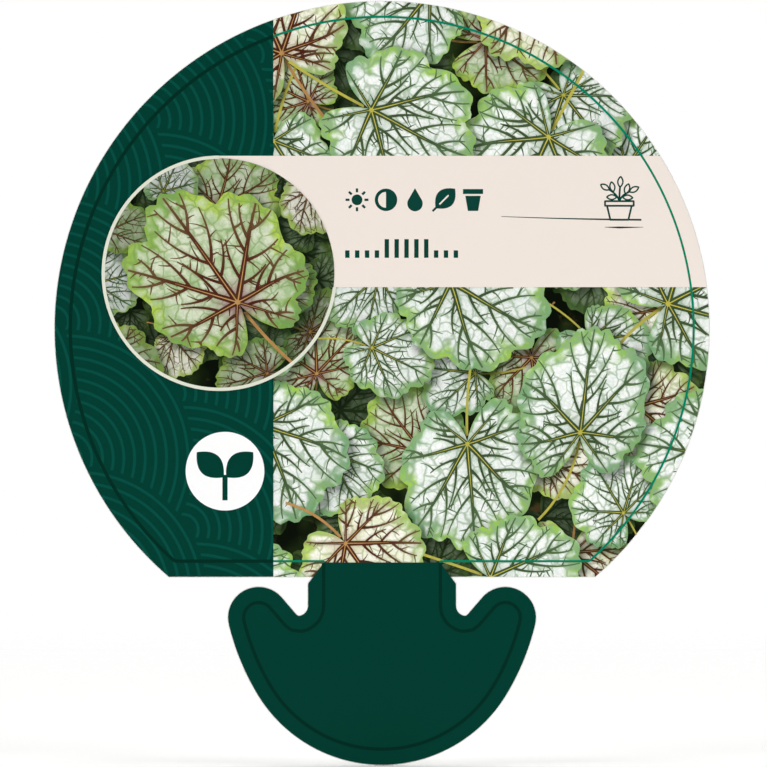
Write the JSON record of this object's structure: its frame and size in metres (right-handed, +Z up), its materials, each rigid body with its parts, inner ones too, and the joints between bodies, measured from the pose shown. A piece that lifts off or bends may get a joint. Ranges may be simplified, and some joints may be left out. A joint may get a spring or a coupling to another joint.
{
  "type": "plant label",
  "caption": "Round printed plant label die-cut from plastic sheet, with a short neck and an anchor-shaped foot that locks in a slot in a pot's rim.",
  "frame": {"origin": "middle of the neck, on the back face of the sheet", "axes": "+Z up along the label's middle line, from the foot to the head; the printed face looks towards -Y and the back towards +Y; +X is to the right as the printed face is seen"},
  "size_m": [0.0984, 0.0006, 0.1148],
  "materials": {
    "label_sheet": "white plastic sheet, satin, cut edges left bare",
    "printed_green": "dark green ink under a satin varnish",
    "printed_cream": "cream ink under a satin varnish",
    "printed_picture": "colour picture under a satin varnish"
  },
  "bodies": {
    "root": {"label": "label_sheet"}
  },
  "joints": []
}
